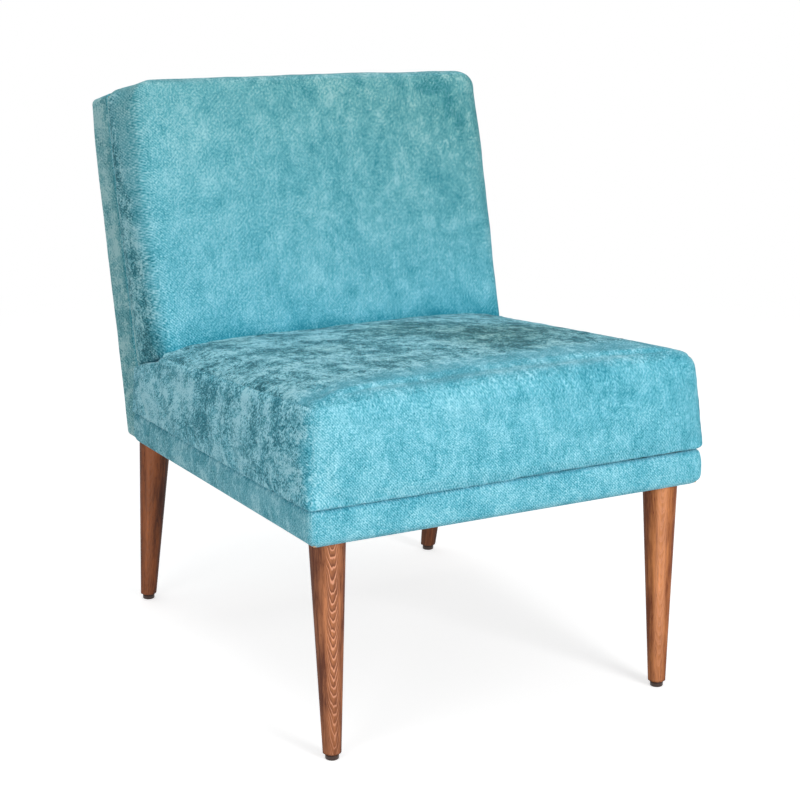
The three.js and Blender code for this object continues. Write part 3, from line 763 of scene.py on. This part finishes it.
def makeBorder():
    block = Block((border["half"] * 2, border["depth"], border["height"]), border)
    block.layCloth(borderWrap, borderTones)
    x, y, z = block.cube.T
    small = between(border["corner"], border["foot"], 1 - smoothStep(-1.0, 0.2, z))
    deep = np.where(y > 0, border["hem"], small)
    place = block.rounded(small, deep, np.where(z < 0, border["footHeight"], border["hem"]))
    share = place / block.halves
    bulge = border["swell"] * (1 - share[:, 2] ** 2) * (np.abs(z) < onSide)
    place[:, 0] += bulge * np.where(np.abs(x) > onSide, np.sign(x), share[:, 0])
    place[:, 1] += bulge * np.where(y < 0, share[:, 1], 0)
    place[:, 1] += border["depth"] / 2
    place[:, 2] += border["height"] / 2
    block.putPlaces(place)

    # inside the flange above and the turned edge below
    def inner(middle):
        under = middle.z < 0.0005
        rim = border["turnUnder"] if under else border["flange"]
        flat = under or middle.z > border["height"] - 0.0006
        return flat and abs(middle.x) < border["half"] - rim and rim < middle.y < border["depth"] - rim

    def keep(places, normals):
        return smoothStep(0.0, 0.012, places[:, 2]) * smoothStep(0.0, 0.02, border["depth"] - places[:, 1])

    bmesh.ops.delete(block.bm, geom=block.facesWhere(inner), context="FACES")
    makeCover(block, border, keep, "seat_border", "base_cover")


makeBorder()

slab = {
    "half": 0.2815,
    "depth": 0.075,
    "length": 0.501,
    "seatRear": 0.6053,
    "edge": 0.009,
    "topEdge": 0.006,
    "frontEdge": 0.0025,
    "corner": 0.009,
    "flange": 0.0095,
    "cornerFlange": 0.044,
    "swell": 0.002,
    "forward": 0.0002,
    "taperFrom": 0.38,
    "taperIn": 0.0025,
    "taperForward": 0.003,
    "welt": 0.001,
    "steps": (68, 16, 90),
    "crowd": (0.7, 0.5, 0.5),
    "turnUnder": 0.015,
    "wobble": 0.0007,
    "waves": ((11.0, 6.2, 1), (34.0, 1.5, 0.5)),
    "wall": 0.0019,
}


def slabWrap(axis, sign, along, reach):
    if axis == 1:
        return (along[2], along[0] + 30)
    if axis == 0:
        return (along[2], 30 + sign * (reach[0] + 0.5 * (reach[1] - along[1])))
    return (reach[2] + reach[1] - along[1], along[0] + 30)


def slabTones(axis, sign, along, reach):
    # painted shade and sheen: shade greys every panel and the side most, and lift makes the side lighter
    if axis:
        return 0.5, 0.25, 0.0
    # painted shade along the side's front, in the groove where it meets the back cushion
    seamShade = math.exp(-((along[1] + reach[1]) / 0.017) ** 2)
    return 0.75 - 0.35 * seamShade, 0.5, 0.23 - 0.36 * seamShade


# Between a front line, which follows the seat's rear and then leans back, and the leaning rear line
def leanSlab(place):
    height, depth, seatRear = place[:, 2], slab["depth"], slab["seatRear"]
    turn = math.radians(frames["backTilt"])
    foot = frames["backFoot"][1]
    rear = np.stack([foot + height * math.sin(turn), height * math.cos(turn)], axis=1)
    fore = rear + np.array([-depth * math.cos(turn), depth * math.sin(turn)])
    knee = (seatRear - foot + depth * math.cos(turn)) / math.sin(turn)
    kneeRise = knee * math.cos(turn) + depth * math.sin(turn)
    low = height < knee
    fore[low, 0] = seatRear
    fore[low, 1] = height[low] / knee * kneeRise
    leaned = between(fore, rear, (place[:, 1:2] + depth) / depth)
    return np.stack([place[:, 0], leaned[:, 0], leaned[:, 1]], axis=1)


def makeSlab():
    half, depth, length = slab["half"], slab["depth"], slab["length"]
    block = Block((half * 2, depth, length), slab)
    block.layCloth(slabWrap, slabTones)
    x, y, z = block.cube.T
    soft = between(slab["frontEdge"], slab["edge"], smoothStep(-0.6, 0.4, y))
    deep = np.where(y > 0, slab["edge"], slab["frontEdge"])
    place = block.roundTop(block.rounded(soft, deep, np.minimum(soft, slab["topEdge"])), slab["corner"])
    share = place / block.halves
    fade = 1 - share ** 2
    place[:, 1] += np.where(share[:, 1] > 0, slab["swell"], 0) * fade[:, 0] * fade[:, 2]
    place[:, 1] -= depth / 2
    place[:, 1] -= slab["forward"] * (y < -onSide)
    place[:, 2] += length / 2
    block.putPlaces(place)

    # behind the flange round the front, which is broad at the corners, and inside the turned edge below
    def inner(middle):
        aside, below = half - abs(middle.x), length - middle.z
        within = min(aside, below) > slab["flange"] and max(aside, below) > slab["cornerFlange"]
        under = middle.z < 0.0004 and aside > slab["turnUnder"] and middle.y < -slab["turnUnder"]
        return middle.y < 0.0004 - depth and within or under

    def keep(places, normals):
        return smoothStep(0.0, 0.02, places[:, 1] - slab["seatRear"]) * smoothStep(-0.7, -0.1, normals[:, 1])

    gone = block.facesWhere(inner)
    start = slab["taperFrom"]
    upper = smoothStep(start, length, place[:, 2]) * (place[:, 2] - start).clip(0) / (length - start)
    place[:, 0] *= 1 - slab["taperIn"] / half * upper
    place[:, 1] -= slab["taperForward"] * upper * (1 + place[:, 1] / depth)
    atFront = np.exp(-((place[:, 1] + depth) / 0.004) ** 2) * (np.abs(x) > onSide)
    place[:, 0] += slab["welt"] * atFront * np.sign(x) * smoothStep(0.1, 0.14, place[:, 2])
    block.putPlaces(leanSlab(place))
    bmesh.ops.delete(block.bm, geom=gone, context="FACES")
    makeCover(block, slab, keep, "outside_back", "slab_cover")


makeSlab()
note("border and outside back made")


leg = {
    "topRadius": 0.0235,
    "footRadius": 0.012,
    "seat": -0.0016,
    "bore": 0.0043,
    "boreDepth": 0.0303,
    "trim": 0.012,
    "levels": 24,
    "sides": 96,
    "rake": 11.0,
    "footEdge": 0.0022,
}
legPlaces = {
    "front_left": (-0.250, 0.040, -frames["seatTilt"]),
    "front_right": (0.250, 0.040, -frames["seatTilt"]),
    "rear_left": (-0.2475, 0.6328, leg["rake"]),
    "rear_right": (0.2475, 0.6328, leg["rake"]),
}
glide = {
    "radius": 0.009,
    "height": 0.008,
    "neckRadius": 0.0078,
    "neckHeight": 0.0016,
    "edge": 0.0016,
    "nail": 0.0012,
    "nailTop": 0.022,
    "gap": 0.0003,
    "sides": 64,
}


def legStand(name):
    x, y, lean = legPlaces[name]
    return standAt(seatFrame @ Vector((x, y, leg["seat"])), lean)


def spinProfile(profile, sides):
    bm = bmesh.new()
    verts = [bm.verts.new((radius, 0, height)) for radius, height in profile]
    edges = [bm.edges.new(pair) for pair in zip(verts, verts[1:])]
    bmesh.ops.spin(bm, geom=verts + edges, cent=(0, 0, 0), axis=(0, 0, 1), dvec=(0, 0, 0),
                   angle=2 * math.pi, steps=sides, use_merge=True, use_duplicate=False)
    bmesh.ops.remove_doubles(bm, verts=bm.verts[:], dist=1e-6)
    bmesh.ops.recalc_face_normals(bm, faces=bm.faces[:])
    return bm


# Turned too long, then cut off at the glide and along the seat's underside
def makeLeg(name):
    stand = legStand(name)
    trim, foot = leg["trim"], glide["height"]
    length = (stand.translation.z - foot) / math.cos(math.radians(legPlaces[name][2]))
    slope = (leg["topRadius"] - leg["footRadius"]) / length
    profile = [(0, -length - trim)]
    for i in range(leg["levels"] + 1):
        height = -length - trim + (length + 2 * trim) * i / leg["levels"]
        profile.append((leg["footRadius"] + slope * (height + length), height))
    profile += [(leg["bore"], trim), (leg["bore"], -leg["boreDepth"]), (0, -leg["boreDepth"])]
    bm = spinProfile(profile, leg["sides"])
    bmesh.ops.transform(bm, matrix=stand, verts=bm.verts[:])

    def cutOff(place, direction):
        cut = bmesh.ops.bisect_plane(bm, geom=bm.verts[:] + bm.edges[:] + bm.faces[:], dist=1e-7,
                                     plane_co=place, plane_no=direction, clear_outer=True)
        return [e for e in cut["geom_cut"] if isinstance(e, bmesh.types.BMEdge)]

    bmesh.ops.contextual_create(bm, geom=cutOff((0, 0, foot), (0, 0, -1)))
    ends = [e for e in bm.edges if all(abs(v.co.z - foot) < 1e-5 for v in e.verts)]
    bmesh.ops.bevel(bm, geom=ends, offset=leg["footEdge"], segments=4, profile=0.5,
                    affect="EDGES", material=-1)
    upward = seatFrame.to_3x3() @ Vector((0, 0, 1))
    bmesh.ops.bridge_loops(bm, edges=cutOff(seatFrame @ Vector((0, 0, leg["seat"])), upward))
    bmesh.ops.recalc_face_normals(bm, faces=bm.faces[:])
    mesh = toMesh(bm)
    mesh.set_sharp_from_angle(angle=math.radians(40))
    finishPiece(mesh, "turned_leg_" + name, legMaterial(name), "stained_beech", "leg_" + name)


def makeGlide(name, material):
    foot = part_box("glide_" + name)
    centre = (foot[0] + foot[1]) / 2
    edge, inner = glide["edge"], glide["radius"] - glide["edge"]
    top = glide["height"] - glide["gap"]
    shoulder = glide["height"] - glide["neckHeight"] - glide["gap"]
    turns = [math.radians(90 * i / 5) for i in range(1, 6)]
    profile = [(0, 0), (inner, 0)]
    profile += [(inner + edge * math.sin(turn), edge - edge * math.cos(turn)) for turn in turns]
    profile += [(glide["radius"], shoulder - 0.0005), (glide["radius"] - 0.0004, shoulder),
                (glide["neckRadius"], shoulder), (glide["neckRadius"], top),
                (glide["nail"], top), (glide["nail"], glide["nailTop"]), (0, glide["nailTop"])]
    bm = spinProfile(profile, glide["sides"])
    bmesh.ops.translate(bm, verts=bm.verts[:], vec=(centre.x, centre.y, 0))
    mesh = toMesh(bm)
    mesh.set_sharp_from_angle(angle=math.radians(35))
    finishPiece(mesh, "foot_glide_" + name, material, "brown_plastic", "glide_" + name)


stainColours = ("Dark Colour", "Light Colour", "Arch Colour", "Line Colour")
# How far each leg's grain is turned and shifted, and its look, with its colours in the same order
stain = {
    "front_left": {"turn": -10, "shift": 0.0, "ring": 0.0013, "slant": 0.06, "arches": 1.0,
                   "colours": ((90, 38, 8), (232, 150, 98), (104, 56, 36), (236, 168, 134))},
    # its arch band is turned to where the highlight falls and coloured pale: a painted highlight
    "front_right": {"turn": -26, "shift": 0.013, "ring": 0.0011, "slant": 0.03, "arches": 0.5,
                    "colours": ((112, 50, 8), (238, 154, 90), (228, 162, 128), (220, 152, 116))},
    # its arch band is turned to where the highlight falls and coloured pale: a painted highlight
    "rear_left": {"turn": -38, "shift": 0.031, "ring": 0.0012, "slant": 0.035, "arches": 0.5,
                  "colours": ((70, 26, 2), (200, 112, 56), (160, 106, 78), (156, 98, 66))},
    "rear_right": {"turn": 150, "shift": 0.047, "ring": 0.0013, "slant": 0.04, "arches": 0.6,
                   "colours": ((60, 26, 10), (176, 100, 52), (84, 44, 28), (156, 96, 60))},
}


# Stained beech: growth rings cut at a slant nest down one face, between straight grain, fibres and flecks
def makeWoodGroup():
    tree, given = newGroup("stainedGrain", ("Ring Size", "Slant", "Arches"), stainColours)
    place = given["Vector"]
    x, y, z = map(Wire, addNode(tree, "SeparateXYZ", {0: place}))
    sway = place.grain((70.0, 70.0, 16.0), 3.0, 0.55, 0.0, 1.0)
    field = x * x * -14.0 - y + z * given["Slant"] + sway * 0.0042
    rings = field.reckon("DIVIDE", given["Ring Size"]).reckon("FRACT")
    line = rings.mapped(0.62, 0.84, smooth=True) * rings.mapped(0.9, 1.0, 1.0, 0.0, smooth=True)
    late = rings.mapped(0.0, 0.5, 1.0, 0.0, smooth=True)
    # the arches show where the rings lie nearly flat to the face, and on some legs that band is coloured pale
    # as a painted highlight; the wood darkens towards the leg's sides, away from that face, as painted shade
    away = x.reckon("ABSOLUTE")
    low = z.mapped(-0.16, -0.27)
    arch = away.mapped(0.0035, 0.0095, 1.0, 0.0, smooth=True) * given["Arches"] * (1.0 - low * 0.6)
    fibres = place.grain((800.0, 800.0, 22.0), 3.0, 0.7, 0.32, 0.68)
    bands = place.grain((190.0, 190.0, 5.0), 4.0, 0.6, 0.34, 0.66, (2.0, 2.0, 2.0))
    blotch = place.grain((38.0, 38.0, 11.0), 4.0, 0.6, 0.34, 0.66, (5.0, 5.0, 5.0))
    flecks = place.grain((620.0, 620.0, 95.0), 2.0, 0.5, 0.62, 0.7, (9.0, 9.0, 9.0))
    tone = (fibres * 0.3 + bands * 0.34 + blotch * 0.36 - flecks * 0.18).clamped()
    # painted shade: darker towards the sides of the leg
    tone = (tone - away.mapped(0.004, 0.021, 0.0, 0.55)).clamped()
    tone = (tone - low * 0.2).clamped()
    wood = tone.mix(given["Dark Colour"], given["Light Colour"])
    filled = (arch * (late * 0.5 + 0.35)).mix(wood, given["Arch Colour"])
    colour = (line * (arch * 0.62 + 0.12)).mix(filled, given["Line Colour"])
    return closeGroup(tree, colour, line * 0.25 + fibres, fibres.mapped(0.0, 1.0, 0.46, 0.34))


woodGroup = makeWoodGroup()


def legMaterial(name):
    settings = stain[name]
    material, tree, shader = newMaterial("stainedBeech" + name.title().replace("_", ""))
    turned = legStand(name) @ Matrix.Rotation(math.radians(settings["turn"]), 4, "Z")
    inverse = turned.inverted()
    place = Wire(addNode(tree, "TexCoord", {})["Object"])
    along = place.through("Mapping", {
        "Vector": place, "Rotation": inverse.to_euler(),
        "Location": inverse.translation + Vector((0, 0, settings["shift"]))})
    colours = {label: toLinear(*colour) for label, colour in zip(stainColours, settings["colours"])}
    look = addNode(tree, "Group", {
        "Vector": along, "Ring Size": settings["ring"], "Slant": settings["slant"],
        "Arches": settings["arches"], **colours}, node_tree=woodGroup)
    wear(shader, *map(Wire, look), 0.12, 0.0004)
    # the lacquer is rubbed down, so it shines where it is met straight on and not along the edges
    facing = Wire(addNode(tree, "LayerWeight", {"Blend": 0.5})["Facing"])
    plug(facing.mapped(0.2, 0.6, 0.4, 0.0), shader["Coat Weight"])
    shader["Specular IOR Level"].default_value = 0.06
    shader["Coat Roughness"].default_value = 0.2
    return material


def plainMaterial(name, dark, light, scale, roughness, bump, stretch=(1, 1, 1), metallic=0.0):
    material, tree, shader = newMaterial(name)
    place = Wire(addNode(tree, "TexCoord", {})["Object"])
    spread = place.through("Mapping", {"Vector": place, "Scale": stretch})
    grain = place.through("TexNoise", {"Vector": spread, "Scale": scale, "Detail": 4.0, "Roughness": 0.6})
    colour = grain.mapped(0.32, 0.68).mix(toLinear(*dark), toLinear(*light))
    wear(shader, colour, grain, grain.mapped(0.3, 0.7, *roughness), bump, 0.0005)
    shader["Metallic"].default_value = metallic
    return material


glidePlastic = plainMaterial("brownPlastic", (44, 28, 22), (66, 42, 32), 700.0, (0.42, 0.34), 0.08)
for name in legPlaces:
    makeLeg(name)
    makeGlide(name, glidePlastic)
note("legs and glides made")


dust = {
    "half": 0.2675,
    "front": 0.014,
    "rear": 0.6463,
    "level": -0.0003,
    "thickness": 0.0006,
    "sag": 0.0028,
    "steps": (80, 94),
    "boltHole": 0.006,
}
dustCloth = plainMaterial("dustCloth", (22, 22, 24), (42, 42, 45), 1500.0, (0.95, 0.85), 0.4)


def makeDust():
    bm = bmesh.new()
    bmesh.ops.create_grid(bm, x_segments=dust["steps"][0], y_segments=dust["steps"][1], size=1)
    middle, deep = (dust["front"] + dust["rear"]) / 2, (dust["rear"] - dust["front"]) / 2
    for vert in bm.verts:
        u, v = vert.co.x, vert.co.y
        free = max(0, 1 - (u / 0.86) ** 4) * max(0, 1 - (v / 0.84) ** 4)
        crease = 0.5 + 0.5 * noise.noise(Vector((u * 2.1, v * 5.2, 0.4)))
        level = dust["level"] - dust["thickness"] - dust["sag"] * free * crease
        vert.co = (u * dust["half"], middle + v * deep, level)
    for x, y, _ in legPlaces.values():
        near = [f for f in bm.faces if (f.calc_center_median().xy - Vector((x, y))).length < dust["boltHole"]]
        bmesh.ops.delete(bm, geom=near, context="FACES")
    bmesh.ops.reverse_faces(bm, faces=bm.faces[:])
    mesh = toMesh(bm)
    mesh.transform(seatFrame)
    piece = finishPiece(mesh, "dust_cloth", dustCloth, "dust_cloth", "dust_cover")
    addWall(piece, dust["thickness"])
    return piece


dustPiece = makeDust()
note("dust cover made")


beech = ((176, 134, 92), (216, 180, 138), 60.0, (0.75, 0.6), 0.2)
# Inner pieces by the starts of their names: dark, light, scale, roughness, bump, stretch and metallic
inside = {
    "beechAlong": (("seat_side_rail",), (*beech, (1, 0.12, 1))),
    "beechUpright": (("corner_block", "back_stile", "leg_block"), (*beech, (1, 1, 0.12))),
    "hardboard": (("outside_back_board",), ((112, 82, 56), (146, 112, 80), 400.0, (0.9, 0.8), 0.3)),
    "elasticWebbing": (("seat_webbing", "back_webbing"),
                       ((28, 28, 30), (58, 58, 60), 900.0, (0.95, 0.85), 0.5, (1, 0.3, 1))),
    "feltPad": (("seat_pad",), ((150, 146, 138), (196, 192, 182), 350.0, (1.0, 0.95), 0.6)),
    "zincSteel": (("hanger_bolt", "leg_insert", "join_"),
                  ((150, 152, 154), (196, 198, 200), 250.0, (0.4, 0.28), 0.1, (1, 1, 1), 1.0)),
    "beechAcross": (("",), (*beech, (0.12, 1, 1))),  # all the others
}
finishes = {kind: plainMaterial(kind, *look) for kind, (starts, look) in inside.items()}
for name, piece in cadNodes.items():
    if not piece.hide_render:
        kind = next(kind for kind, (starts, look) in inside.items() if name.startswith(starts))
        for slot in piece.material_slots:
            slot.material = finishes[kind]
note("inside pieces finished")


studio = {
    "floorSize": 14.0,
    "floorColour": (0.72, 0.72, 0.72, 1),
    "lamps": {
        "key": {"place": (0.8, -3.8, 1.7), "aim": (0, 0, 0.4), "size": 1.6, "power": 92},
        "top": {"place": (-0.3, 0.2, 3.4), "aim": (0, 0, 0.3), "size": 2.6, "power": 34},
        "left": {"place": (-2.9, -1.9, 1.5), "aim": (0, 0, 0.4), "size": 1.8, "power": 26},
    },
    "ambient": 0.34,
    "floorGlow": 0.62,
    "white": (1, 1, 1, 1),
    "lens": 88.6196,
    "cameraPlace": (-1.254687, -2.425094, 1.081140),
    "cameraDown": 14.84573,
    "cameraTurn": -27.99753,
}


# Rays that see the background, in the picture or in a shiny piece
def seenRays(tree):
    rays = addNode(tree, "LightPath", {})
    seen = Wire(rays["Is Camera Ray"])
    for label in ("Is Glossy Ray", "Is Transmission Ray"):
        seen = seen.reckon("MAXIMUM", Wire(rays[label]))
    return seen


def makeFloor():
    bm = bmesh.new()
    bmesh.ops.create_grid(bm, x_segments=2, y_segments=2, size=studio["floorSize"] / 2)
    material, tree, shader = newMaterial("paleFloor")
    shader["Base Color"].default_value = studio["floorColour"]
    shader["Roughness"].default_value = 0.9
    shader["Specular IOR Level"].default_value = 0.1
    seen = seenRays(tree)
    glow = seen.through("Emission", {"Strength": seen * studio["floorGlow"]})
    lit = glow.through("AddShader", {0: Wire(tree.nodes["Principled BSDF"].outputs[0]), 1: glow})
    white = glow.through("Emission", {"Strength": 1.0})
    place = Wire(addNode(tree, "TexCoord", {})["Object"])
    away = place.through("VectorMath", {0: place}, "Value", operation="LENGTH")
    far = away.mapped(1.2, 2.6, smooth=True)
    mixed = lit.through("MixShader", {0: far * seen, 1: lit, 2: white})
    plug(mixed, tree.nodes["Material Output"].inputs["Surface"])
    mesh = toMesh(bm)
    mesh.materials.append(material)
    addObject("floor", mesh)


def makeLamp(name, settings):
    light = bpy.data.lights.new(name, "AREA")
    light.shape = "DISK"
    light.size = settings["size"]
    light.energy = settings["power"]
    lamp = addObject(name, light)
    lamp.location = settings["place"]
    aim = Vector(settings["aim"]) - Vector(settings["place"])
    lamp.rotation_euler = aim.to_track_quat("-Z", "Y").to_euler()


def makeWorld():
    world = bpy.data.worlds.new("studio")
    scene.world = world
    world.use_nodes = True
    tree = world.node_tree
    ambient = tree.nodes["Background"]
    ambient.inputs["Color"].default_value = studio["white"]
    ambient.inputs["Strength"].default_value = studio["ambient"]
    seen = seenRays(tree)
    backdrop = seen.through("Background", {"Color": studio["white"], "Strength": 1.0})
    mixed = seen.through("MixShader", {0: seen, 1: Wire(ambient.outputs[0]), 2: backdrop})
    plug(mixed, tree.nodes["World Output"].inputs["Surface"])


makeFloor()
for name, settings in studio["lamps"].items():
    makeLamp(name, settings)
makeWorld()

lens = bpy.data.cameras.new("camera")
lens.lens = studio["lens"]
lens.sensor_width = 36
camera = addObject("camera", lens)
camera.location = studio["cameraPlace"]
camera.rotation_euler = (math.radians(90 - studio["cameraDown"]), 0, math.radians(studio["cameraTurn"]))
scene.camera = camera
scene.view_settings.view_transform = "Standard"

bpy.context.view_layer.update()
note("done")
